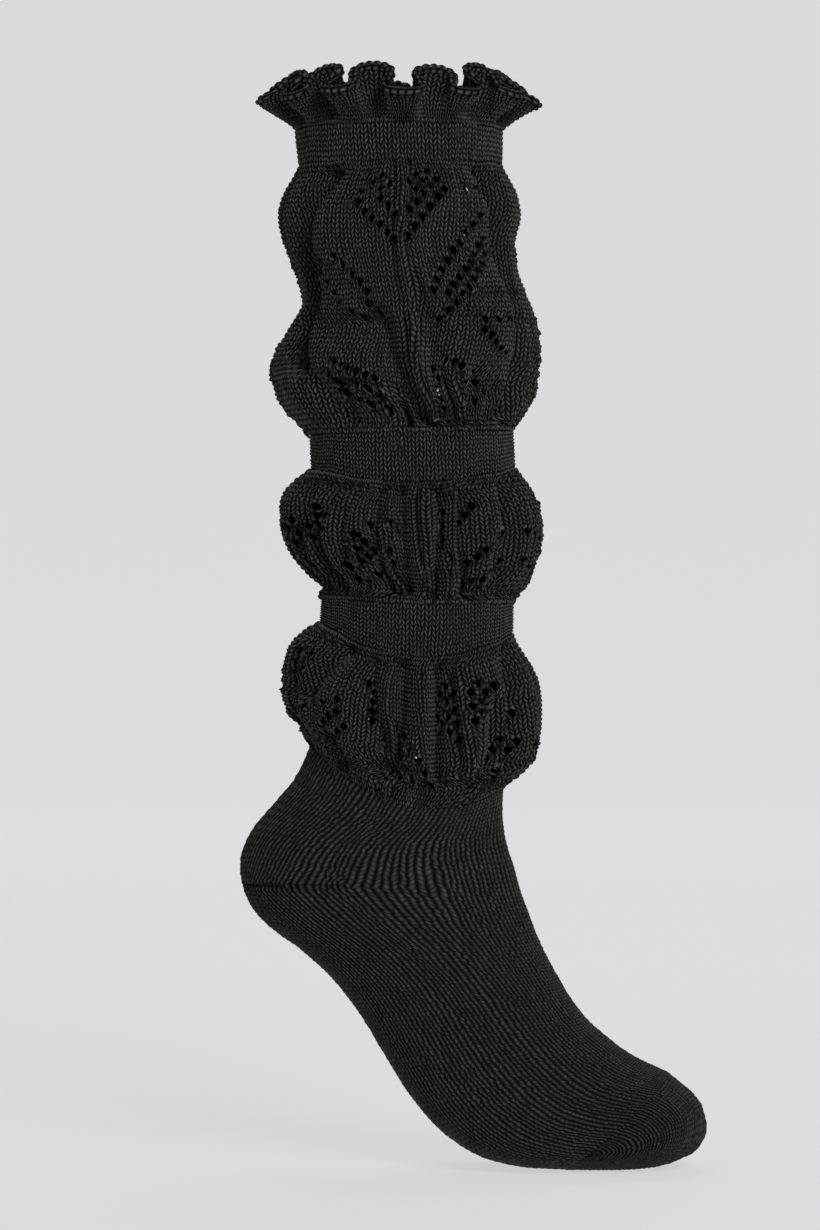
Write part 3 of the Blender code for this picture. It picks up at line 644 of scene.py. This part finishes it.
# A line of the chart is a row of eyelets, each so many stitches from the last. The chart shows
# the outer third of the round, with the stem as wale 0, and the other thirds repeat it, shifted.
UPPER_CHART = (
    # wale course across down count
    ( -6,   6.0,   1,   1.00,  1),
    ( -6,   8.0,   1,   1.60,  6),
    ( -5,   2.2,   1,   1.60,  3),
    ( -3,   7.4,   1,   1.60,  3),
    ( -3,   2.8,   1,   1.70,  2),
    (  2,   2.2,  -1,   1.60,  2),
    (  4,   2.0,  -1,   1.60,  3),
    (  5,   3.4,  -1,   1.50,  5),
    (  6,   5.2,  -1,   1.95,  6),
    (  9,   5.2,   2,  -0.60,  2),
    ( 11,  10.7,  -1,   1.85,  9),
    ( 12,  15.6,  -1,   1.55,  8),
    ( 13,  17.2,  -1,   1.60, 10),
    (-10,  18.6,   1,   1.85,  5),
    ( -6,  28.3,   1,   2.10,  2),
    (-14,  18.4,   1,   1.60,  2),
    (-14,  21.9,   1,   1.90,  4),
    ( -9,  29.5,   1,   1.60,  2),
    ( 10,  31.6,   2,   0.20,  3),
    ( 10,  33.9,   1,   1.20,  5),
    (-12,  40.0,   1,   0.65,  6),
    (-10,  43.5,   1,   0.90,  4),
    (-13,  42.2,   1,   1.90,  2),
    (-12,  46.0,   1,   0.80,  6),
    (  6,  40.3,   1,   0.50,  3),
    ( 11,  42.6,   1,   1.90,  3),
    (  4,  42.0,   1,   1.50,  2),
    (  9,  44.6,   1,   1.90,  3),
    (  4,  45.6,   0,   2.10,  3),
)
UPPER_STEMS = ((0, -2, 60), (-6, 44, 60), (7, 43, 60))
REPEATS = 3
# For each third: mirrored or not, moved by wales and by courses, and the lines left out, so that
# hardly any eyelet of the far side lets light through one of the near side.
UPPER_SHIFTS = ((1, 0, 0, ()), (-1, 4, 1, (3, 8, 12, 13, 20, 27)), (1, -4, 3, (18, 20, 21, 22, 23)))
STEM_LEAN = (
    # down  wales
    (0.00,  -0.2),
    (0.30,  -0.3),
    (0.47,  -1.3),
    (0.64,  -0.1),
    (0.75,  1.2),
    (0.86,  3.4),
    (1.00,  5.8),
)


def lace(name, surface, wales, courses, chart, stems, shifts):
    """A knitted puff with the chart's lines and stems set round it, each third shifted as told."""
    eyelets, ribs = [], []
    for turn, (side, aside, below, left_out) in enumerate(shifts):
        first = aside + wales * turn // REPEATS
        eyelets += [
            (side * w + first, c + below, side * across, down, count)
            for line, (w, c, across, down, count) in enumerate(chart) if line not in left_out]
        ribs += [(side * w + first, start, end) for w, start, end in stems]
    return knitted(name, surface, wales, courses, eyelets=eyelets, stems=ribs)


upper_even = evenly_placed(leg_surface(
    UPPER_OUTLINE, CUFF_LOW, UPPER_LOW, folded(UPPER_FOLDS, 115.0)))


def upper_surface(turn, down):
    """The wales lean with the stems, and keep their places half way between two stems."""
    from_stem = (turn * REPEATS + 0.5) % 1 - 0.5
    lean = through(STEM_LEAN, np.asarray(down))[0] / UPPER_WALES
    return upper_even(turn + lean * (1 - 2 * np.abs(from_stem)), down)


upper_puff = lace(
    "upper_puff_knit", upper_surface, UPPER_WALES, UPPER_COURSES,
    UPPER_CHART, UPPER_STEMS, UPPER_SHIFTS)
declare(
    upper_puff, ["upper_puff_top", "upper_puff_waist", "upper_puff_base"])

# ------------------------------------------------------------
# Middle band. Plain stockinette on fewer stitches, which draws the calf in between two puffs.

MIDDLE_BAND_WALES = 84
MIDDLE_BAND_COURSES = 10
MIDDLE_BAND_LOW = (-139.0, -145.8, -138.4)
MIDDLE_BAND_OUTLINE = (
    # down  calf    shin   half_width
    (0.0,  -38.6,  48.4,  41.0),
    (1.0,  -38.0,  49.4,  41.0),
)
middle_band_surface = evenly_placed(leg_surface(MIDDLE_BAND_OUTLINE, UPPER_LOW, MIDDLE_BAND_LOW))
middle_band = knitted(
    "middle_band_knit", middle_band_surface, MIDDLE_BAND_WALES, MIDDLE_BAND_COURSES)
declare(middle_band, ["middle_band"])

# ------------------------------------------------------------
# Middle puff. A round puff of the same lace, gathered into even upright folds.

MIDDLE_WALES = 108
MIDDLE_COURSES = 29
MIDDLE_LOW = (-195.0, -197.4, -197.2)
MIDDLE_OUTLINE = (
    # down  calf    shin   half_width
    (0.00, -38.0,  49.4,  41.0),
    (0.05, -43.0,  52.2,  45.0),
    (0.12, -47.8,  55.6,  49.5),
    (0.30, -52.6,  60.2,  54.0),
    (0.50, -52.0,  61.8,  55.0),
    (0.70, -46.2,  59.2,  52.0),
    (0.88, -36.2,  54.0,  45.5),
    (1.00, -33.6,  48.6,  38.6),
)
MIDDLE_FOLDS = (
    # top   low   bow  depth  half from  to
    ( -84,  -86,    0,   3.8,    8, 0.00, 1.00),
    ( -50,  -66,   -6,   9.8,    9, 0.00, 1.00),
    ( -37,  -50,   -5,   8.4,    8, 0.00, 1.00),
    ( -27,  -34,   -4,   6.9,    7, 0.00, 0.92),
    ( -18,  -16,    1,  11.0,  8.5, 0.00, 1.00),
    (  -5,   -9,    3,  14.5,  9.5, 0.00, 1.00),
    (  17,    7,    3,  14.5,  9.5, 0.00, 1.00),
    (  31,   27,   -5,  10.5,  8.5, 0.00, 1.00),
    (  46,   42,    0,   5.4,    7, 0.40, 1.00),
    (  62,   58,   -9,  10.8,   10, 0.00, 1.00),
    (  78,   75,   -4,   4.3,    8, 0.00, 1.00),
    (  96,   98,    0,   5.1,    9, 0.00, 1.00),
    ( 112,  110,    4,   7.2,    8, 0.00, 0.85),
    ( 126,  131,    0,  11.8,   10, 0.00, 1.00),
    ( 143,  147,   -3,   7.8,    8, 0.10, 1.00),
    ( 160,  162,    4,  10.8,    9, 0.00, 1.00),
    ( 178,  176,    0,   7.2,    8, 0.00, 0.90),
    ( 193,  196,    5,  11.8,   10, 0.00, 1.00),
    ( 211,  209,    0,   7.8,    8, 0.00, 1.00),
    ( 227,  232,   -4,  11.2,    9, 0.00, 1.00),
    ( 243,  248,    0,   6.9,    8, 0.20, 1.00),
    ( 259,  261,    3,   5.1,    9, 0.00, 1.00),
)
MIDDLE_CHART = (
    # wale course across down count
    (-18,  11.3,   1,  -1.10,  3),
    (-18,  14.1,   1,  -1.50,  3),
    (-12,  15.0,   2,  -2.60,  3),
    (-11,  16.9,   1,  -1.40,  3),
    (-10,  18.5,   1,  -1.20,  3),
    (-13,  20.0,   2,   0.80,  3),
    (-13,  23.0,   2,   0.80,  2),
    ( -4,   8.9,   1,   1.40,  2),
    ( -5,  15.5,   0,   3.20,  2),
    ( -7,  21.3,   1,   1.00,  1),
    (  6,   7.1,   0,   3.10,  3),
    ( 11,   6.0,  -1,   1.90,  3),
    ( 14,  13.2,  -1,   1.35,  5),
    ( 17,  12.6,   1,   1.00,  1),
    ( 14,  20.6,  -1,   0.85,  6),
    ( 17,  19.1,   1,   1.00,  1),
)
MIDDLE_STEMS = ((-6, 9, 30), (2, 0, 30), (8, 16, 30))
MIDDLE_SHIFTS = ((1, 0, 0, ()), (-1, 1, 0, (7, 10)), (-1, 3, -2, (10, 12, 14)))
middle_surface = evenly_placed(leg_surface(
    MIDDLE_OUTLINE, MIDDLE_BAND_LOW, MIDDLE_LOW, folded(MIDDLE_FOLDS, 56.0)))
middle_puff = lace(
    "middle_puff_knit", middle_surface, MIDDLE_WALES, MIDDLE_COURSES,
    MIDDLE_CHART, MIDDLE_STEMS, MIDDLE_SHIFTS)
declare(
    middle_puff, ["middle_puff_top", "middle_puff_base"])

# ------------------------------------------------------------
# Lower band. The second plain band, which dips towards the outer and the inner side.

LOWER_BAND_WALES = 82
LOWER_BAND_COURSES = 10
LOWER_BAND_LOW = (-204.6, -219.6, -209.6)
LOWER_BAND_OUTLINE = (
    # down  calf    shin   half_width
    (0.0,  -33.6,  48.6,  38.6),
    (1.0,  -34.2,  48.4,  38.4),
)
lower_band_surface = evenly_placed(leg_surface(LOWER_BAND_OUTLINE, MIDDLE_LOW, LOWER_BAND_LOW))
lower_band = knitted(
    "lower_band_knit", lower_band_surface, LOWER_BAND_WALES, LOWER_BAND_COURSES)
declare(lower_band, ["lower_band"])

# ------------------------------------------------------------
# Lower puff. The last puff, which droops over the ankle at the sides.

LOWER_WALES = 108
LOWER_COURSES = 33
LOWER_LOW = (-258.0, -283.0, -276.4)
LOWER_OUTLINE = (
    # down  calf    shin   half_width
    (0.00, -34.2,  48.4,  38.4),
    (0.05, -39.8,  50.8,  42.5),
    (0.12, -44.2,  53.6,  47.0),
    (0.30, -50.2,  59.2,  52.5),
    (0.50, -51.0,  61.4,  54.0),
    (0.70, -48.6,  60.2,  51.0),
    (0.88, -41.4,  54.4,  44.0),
    (1.00, -38.2,  44.2,  36.0),
)
LOWER_FOLDS = (
    # top   low   bow  depth  half from  to
    ( -86,  -88,    0,   3.8,    8, 0.00, 0.80),
    ( -64,  -76,    0,   4.6,    9, 0.00, 0.90),
    ( -38,  -74,   -4,  13.2,   11, 0.00, 0.62),
    ( -40,  -42,    0,   5.8,    7, 0.60, 1.00),
    ( -24,   -8,    0,  10.5,  8.5, 0.00, 0.80),
    (  -5,  -19,    6,  14.8,  9.5, 0.00, 0.92),
    (   1,    2,    0,   5.8,    7, 0.66, 1.00),
    (  18,   12,   -1,  14.5,  9.5, 0.00, 0.90),
    (  31,   25,    0,  -1.9,    7, 0.00, 1.00),
    (  52,   38,   -4,   7.2,    8, 0.25, 1.00),
    (  68,   58,   -8,  11.8,   10, 0.00, 1.00),
    (  84,   76,    0,   4.6,    8, 0.00, 1.00),
    ( 100,  102,    4,   5.7,    9, 0.00, 1.00),
    ( 117,  114,    0,   7.2,    8, 0.10, 1.00),
    ( 132,  138,    0,  12.4,   10, 0.00, 1.00),
    ( 150,  154,    4,   7.8,    8, 0.00, 0.85),
    ( 167,  170,    0,  11.2,   10, 0.00, 1.00),
    ( 186,  184,   -3,   7.2,    8, 0.20, 1.00),
    ( 201,  205,    0,  11.8,   10, 0.00, 1.00),
    ( 220,  217,    4,   8.4,    8, 0.00, 0.90),
    ( 236,  243,    0,  11.2,   10, 0.00, 0.85),
    ( 254,  257,    0,   4.0,    8, 0.00, 0.80),
)
LOWER_CHART = (
    # wale course across down count
    (-18,  18.9,   2,  -2.15,  4),
    (-12,  15.2,  -1,   2.10,  5),
    (-11,  18.2,  -1,   2.20,  3),
    ( -9,   6.7,   1,   1.00,  1),
    ( -8,   8.7,   0,   2.10,  4),
    ( -2,  17.0,   1,   2.40,  5),
    ( -3,  21.8,   1,   2.30,  3),
    (  8,   7.4,  -1,  -1.50,  2),
    (  8,  10.6,  -1,  -1.50,  3),
    (  8,  13.7,  -1,  -1.40,  2),
    (  5,  12.6,   1,   1.60,  4),
    ( 10,   7.4,   1,  -1.50,  2),
    ( 10,  10.5,   1,  -1.20,  4),
    ( 10,  13.4,   1,  -1.30,  3),
    ( 20,  14.8,  -1,   1.70,  2),
    ( 16,  17.4,  -1,   1.70,  5),
    ( 20,  20.6,  -1,   1.60,  2),
    ( 17,  20.9,  -1,   1.60,  5),
)
LOWER_STEMS = ((9, 3, 34), (-5, 14, 34))
LOWER_SHIFTS = (
    (1, 0, 0, ()), (-1, 6, 1.5, (4, 10, 14, 15, 16)), (1, 3, -1.5, (0, 5, 14, 15, 16, 17)))
lower_surface = evenly_placed(leg_surface(
    LOWER_OUTLINE, LOWER_BAND_LOW, LOWER_LOW, folded(LOWER_FOLDS, 66.0)))
lower_puff = lace(
    "lower_puff_knit", lower_surface, LOWER_WALES, LOWER_COURSES,
    LOWER_CHART, LOWER_STEMS, LOWER_SHIFTS)
declare(lower_puff, ["lower_puff_top", "lower_puff_base"])

# ------------------------------------------------------------
# Foot. Plain stockinette from the ankle over a short-row heel to the toe seam. The heel's two
# halves meet along a line at the back, where the wales turn from the leg's way to the sole's.

FOOT_WALES = 58
FOOT_COURSES = 100
FOOT_RINGS = (
    # back_x back_z front_x front_z half fullness egg sag
    (-38.2, -258.0,  44.2, -276.4, 36.0, 0.00, 0.00, 15.8),
    (-43.9, -270.5,  43.9, -281.7, 34.6, 0.00, 0.02, 12.4),
    (-53.3, -282.5,  43.9, -289.4, 33.8, 0.00, 0.05,  8.4),
    (-62.8, -293.7,  44.7, -296.3, 33.4, 0.00, 0.08,  4.6),
    (-67.5, -303.2,  46.4, -303.2, 33.4, 0.02, 0.10,  2.0),
    (-68.4, -310.9,  48.6, -310.0, 33.6, 0.04, 0.10,  0.6),
    (-67.5, -317.8,  50.7, -317.8, 33.8, 0.05, 0.10,  0.0),
    (-64.1, -326.4,  53.3, -325.5, 34.2, 0.06, 0.09,  0.0),
    (-56.8, -335.0,  56.8, -335.0, 34.8, 0.07, 0.07,  0.0),
    (-43.0, -345.3,  61.1, -345.3, 35.4, 0.08, 0.05,  0.0),
    (-28.8, -358.2,  67.1, -356.5, 36.2, 0.09, 0.03,  0.0),
    (-16.8, -373.7,  73.0, -366.5, 37.6, 0.11, 0.01,  0.0),
    ( -6.9, -390.0,  80.4, -376.2, 39.4, 0.13, 0.00,  0.0),
    (  3.9, -407.2,  87.8, -382.8, 41.4, 0.16, 0.00,  0.0),
    ( 17.2, -422.7,  95.5, -388.8, 42.8, 0.19, 0.00,  0.0),
    ( 34.4, -433.9, 103.2, -393.5, 43.2, 0.22, 0.00,  0.0),
    ( 51.6, -438.2, 109.8, -396.5, 42.6, 0.24, 0.00,  0.0),
    ( 70.1, -439.4, 115.2, -399.0, 41.0, 0.25, 0.00,  0.0),
)
HEEL_LINE_RING = 6
HEEL_CORNER = 2.0        # degrees from the outer side to where the heel's line ends
HEEL_DRIFT = 23.0        # degrees by which the heel's wales lean back where they meet the line
HEEL_SPREAD = 0.105      # share of the foot over which they lean
HEEL_FORWARD = 0.30      # share of the line's length in front of its corner where the lean begins
HEEL_GROOVE = 2.0


def spaced(rings):
    """The rings, each with its share of the way along first, measured down their middles."""
    table = np.array(rings)
    middle = np.stack([
        table[:, 0] + table[:, 2], table[:, 1] + table[:, 3] - 2 * table[:, 7]], -1) / 2
    length = np.append(0, np.cumsum(np.linalg.norm(np.diff(middle, axis=0), axis=1)))
    return np.column_stack([length / length[-1], table])


def ring_surface(table):
    """The surface through rings that slant from a sole point to an instep point."""
    def surface(angle, down):
        back_x, back_z, front_x, front_z, half_width, fullness, egg, sag = through(table, down)
        to_front, to_inner = across(angle)
        power = 1 - fullness * np.clip(0.3 - to_front, 0, 1)
        side = np.sign(to_inner) * np.abs(to_inner) ** power * (1 + egg * to_front)
        height = sagging(back_z, (back_z + front_z) / 2 - sag, front_z, to_front)
        middle, reach = (back_x + front_x) / 2, (front_x - back_x) / 2
        return np.stack([middle + reach * to_front, half_width * side, height], -1)
    return surface


foot_table = spaced(FOOT_RINGS)
foot_rings = ring_surface(foot_table)
foot_angle = even_angles(foot_rings)
heel_line = foot_table[HEEL_LINE_RING, 0]


def heel_share(angle):
    """How far back from the heel's corner: 0 there, 1 at the middle line, less than 0 in front."""
    from_side = (angle + 180) % 360 - 180
    behind = np.where(from_side > 90, 180 - from_side, from_side)
    behind = np.where(behind < -90, -180 - behind, behind)
    return (HEEL_CORNER - behind) / (90 + HEEL_CORNER)


def foot_surface(turn, down):
    angle = foot_angle(turn, down)
    share = heel_share(angle)
    behind = np.clip((share + HEEL_FORWARD) / (1 + HEEL_FORWARD), 0, 1)
    near_line = np.exp(-np.abs(down - heel_line) / HEEL_SPREAD)
    lean = HEEL_DRIFT * np.sin(np.pi * behind**1.1) * near_line
    from_side = (angle + 180) % 360 - 180
    towards_calf = np.where(np.abs(from_side) < 90, -1.0, 1.0)
    return foot_rings(angle + lean * towards_calf, down)


def heel_groove(wale, course):
    share = heel_share(foot_angle(wale / FOOT_WALES, course / FOOT_COURSES))
    beside = course - heel_line * FOOT_COURSES
    groove = (-HEEL_GROOVE * np.exp(-(beside / 0.55) ** 2)
              + 0.5 * np.exp(-((np.abs(beside) - 1.3) / 0.5) ** 2))
    return groove * ease(share * 12) * ease((0.93 - share) * 6)


foot = knitted(
    "foot_knit", foot_surface, FOOT_WALES, FOOT_COURSES, lift=heel_groove, over=False,
    stretched=True)
declare(foot, ["ankle", "heel", "arch", "ball"])

# ------------------------------------------------------------
# Toe cap. A pocket of short rows: its wales run from the seam on the instep over the toes and
# back under them to the seam on the sole, so that they nest round the two ends of the seam.

TOE_WALES = 42
TOE_COURSES = 44
TOE_RINGS = (
    ( 70.1, -439.4, 115.2, -399.0, 41.0, 0.25, 0.00, 0.0),
    ( 85.1, -439.5, 120.8, -403.6, 38.0, 0.25, 0.00, 0.0),
    (100.2, -439.3, 126.2, -408.4, 33.4, 0.24, 0.00, 0.0),
    (112.7, -437.7, 129.4, -413.0, 26.6, 0.22, 0.00, 0.0),
    (121.4, -434.8, 131.0, -418.2, 17.6, 0.18, 0.00, 0.0),
    (127.0, -431.6, 131.6, -422.8,  9.0, 0.10, 0.00, 0.0),
    (130.4, -427.4, 131.0, -426.8,  0.2, 0.00, 0.00, 0.0),
)
SEAM_END = -0.55         # how far down the seam's ring its two ends lie, from -1 at the sole to 1
INSTEP_SHARE = 0.36      # share of a wale that lies on the instep side of the tip

toe_table = spaced(TOE_RINGS)
toe_rings = ring_surface(toe_table)
seam_half = math.sqrt(1 - SEAM_END**2)


def toe_surface(turn, down):
    """A wale keeps its ratio of distances to the seam's ends, a course its angle between them."""
    low = math.degrees(math.asin(SEAM_END))
    angle = np.radians(low + (180 - 2 * low) * np.clip(turn, 0.002, 0.998))
    x, y = -np.cos(angle), np.sin(angle)
    ratio = np.log(np.hypot(x + seam_half, y - SEAM_END) / np.hypot(x - seam_half, y - SEAM_END))
    middle = np.interp(down, (0, INSTEP_SHARE, 1), (1 - SEAM_END, -SEAM_END, -1 - SEAM_END))
    between = 2 * np.arctan2(seam_half, middle)
    spread = np.cosh(ratio) - np.cos(between)
    x, y = seam_half * np.sinh(ratio) / spread, seam_half * np.sin(between) / spread + SEAM_END
    return toe_rings(np.degrees(np.arctan2(y, -x)), 1 - np.clip(np.hypot(x, y), 0, 1))


toe_cap = knitted(
    "toe_cap_knit", toe_surface, TOE_WALES, TOE_COURSES, closed=False, tucked=False, over=False,
    stretched=True)
declare(toe_cap, ["toe_cap"])

# ------------------------------------------------------------
# Studio. A pale seamless sheet under and behind the sock, a large soft light from the front and
# above, weaker ones from the other side and the back, and a camera level with the sock's middle.

FLOOR_Z = -0.4398
CAMERA_DISTANCE = 2.2
CAMERA_X = 0.0043
CAMERA_Z = -0.2021
FRAME_PIXELS = 1230
METRES_A_PIXEL = 0.00043        # at the sock
SHEET_REACH = 14.0   # wide and far enough that the sock is seen before it from every side
SHEET_CURVE = 3.2    # radius with which the sheet turns up, that far behind the sock
BACKDROP = "#787879"
BACKDROP_GLOW = "#dbdbde"   # it is lit through from behind, so that the sock throws little shadow
NEAR_GLOW = 0.818   # under the sock, where the lamps light the sheet as well
FAR_GLOW = 0.922    # where it turns up, so that it looks equally pale all over

camera_data = bpy.data.cameras.new("camera")
camera_data.sensor_fit = "VERTICAL"
camera_data.sensor_height = 36.0
camera_data.lens = camera_data.sensor_height * CAMERA_DISTANCE / (FRAME_PIXELS * METRES_A_PIXEL)
camera = bpy.data.objects.new("camera", camera_data)
camera.location = (CAMERA_X, -CAMERA_DISTANCE, CAMERA_Z)
camera.rotation_euler = (math.radians(90), 0, 0)
bpy.context.scene.collection.objects.link(camera)
bpy.context.scene.camera = camera

backdrop_profile = [(-SHEET_REACH, 0.0), (SHEET_CURVE, 0.0)]
for step in range(1, 25):
    turned = math.radians(90 * step / 24)
    backdrop_profile.append(
        (SHEET_CURVE * (1 + math.sin(turned)), SHEET_CURVE * (1 - math.cos(turned))))
backdrop_profile.append((2 * SHEET_CURVE, SHEET_REACH))
backdrop_mesh = bpy.data.meshes.new("backdrop")
backdrop_points = [
    (x, y, FLOOR_Z + z) for y, z in backdrop_profile for x in (-SHEET_REACH, SHEET_REACH)]
backdrop_faces = [
    (2 * i, 2 * i + 1, 2 * i + 3, 2 * i + 2) for i in range(len(backdrop_profile) - 1)]
backdrop_mesh.from_pydata(backdrop_points, [], backdrop_faces)
backdrop_mesh.shade_smooth()
paper = bpy.data.materials.new("backdrop_paper")
paper.use_nodes = True
paper_shader = paper.node_tree.nodes["Principled BSDF"]
for socket, value in (("Base Color", linear(BACKDROP)), ("Roughness", 0.95),
                      ("Specular IOR Level", 0.1), ("Emission Color", linear(BACKDROP_GLOW))):
    paper_shader.inputs[socket].default_value = value
paper_place = add_node(paper.node_tree, "ShaderNodeTexCoord").outputs["Object"]
paper_depth = add_node(paper.node_tree, "ShaderNodeSeparateXYZ", {0: paper_place}).outputs["Y"]
paper_glow = add_node(paper.node_tree, "ShaderNodeMapRange", {
    "Value": paper_depth, "From Max": SHEET_CURVE, "To Min": NEAR_GLOW, "To Max": FAR_GLOW})
paper.node_tree.links.new(paper_glow.outputs[0], paper_shader.inputs["Emission Strength"])
backdrop_mesh.materials.append(paper)
backdrop = bpy.data.objects.new("backdrop", backdrop_mesh)
bpy.context.scene.collection.objects.link(backdrop)


def soft_light(name, place, aim, size, watts):
    lamp = bpy.data.lights.new(name, "AREA")
    lamp.shape = "RECTANGLE"
    lamp.size, lamp.size_y = size
    lamp.energy = watts
    light = bpy.data.objects.new(name, lamp)
    light.location = place
    x, y, z = np.array(place) - np.array(aim)
    light.rotation_euler = (math.atan2(math.hypot(x, y), z), 0, math.atan2(x, -y))
    bpy.context.scene.collection.objects.link(light)


soft_light("key", (0.7, -1.9, 0.72), (0.0, 0.0, -0.15), (0.8, 0.8), 31.5)
soft_light("fill", (-1.6, -1.4, 0.5), (0.0, 0.0, -0.2), (1.4, 1.4), 2.0)
soft_light("rim", (0.0, 1.2, 1.6), (0.0, 0.0, -0.2), (1.6, 0.8), 10.0)

world = bpy.data.worlds.new("studio")
world.use_nodes = True
world.node_tree.nodes["Background"].inputs["Color"].default_value = (1.0, 1.0, 1.0, 1.0)
world.node_tree.nodes["Background"].inputs["Strength"].default_value = 0.07
bpy.context.scene.world = world
bpy.context.scene.view_settings.view_transform = "Standard"
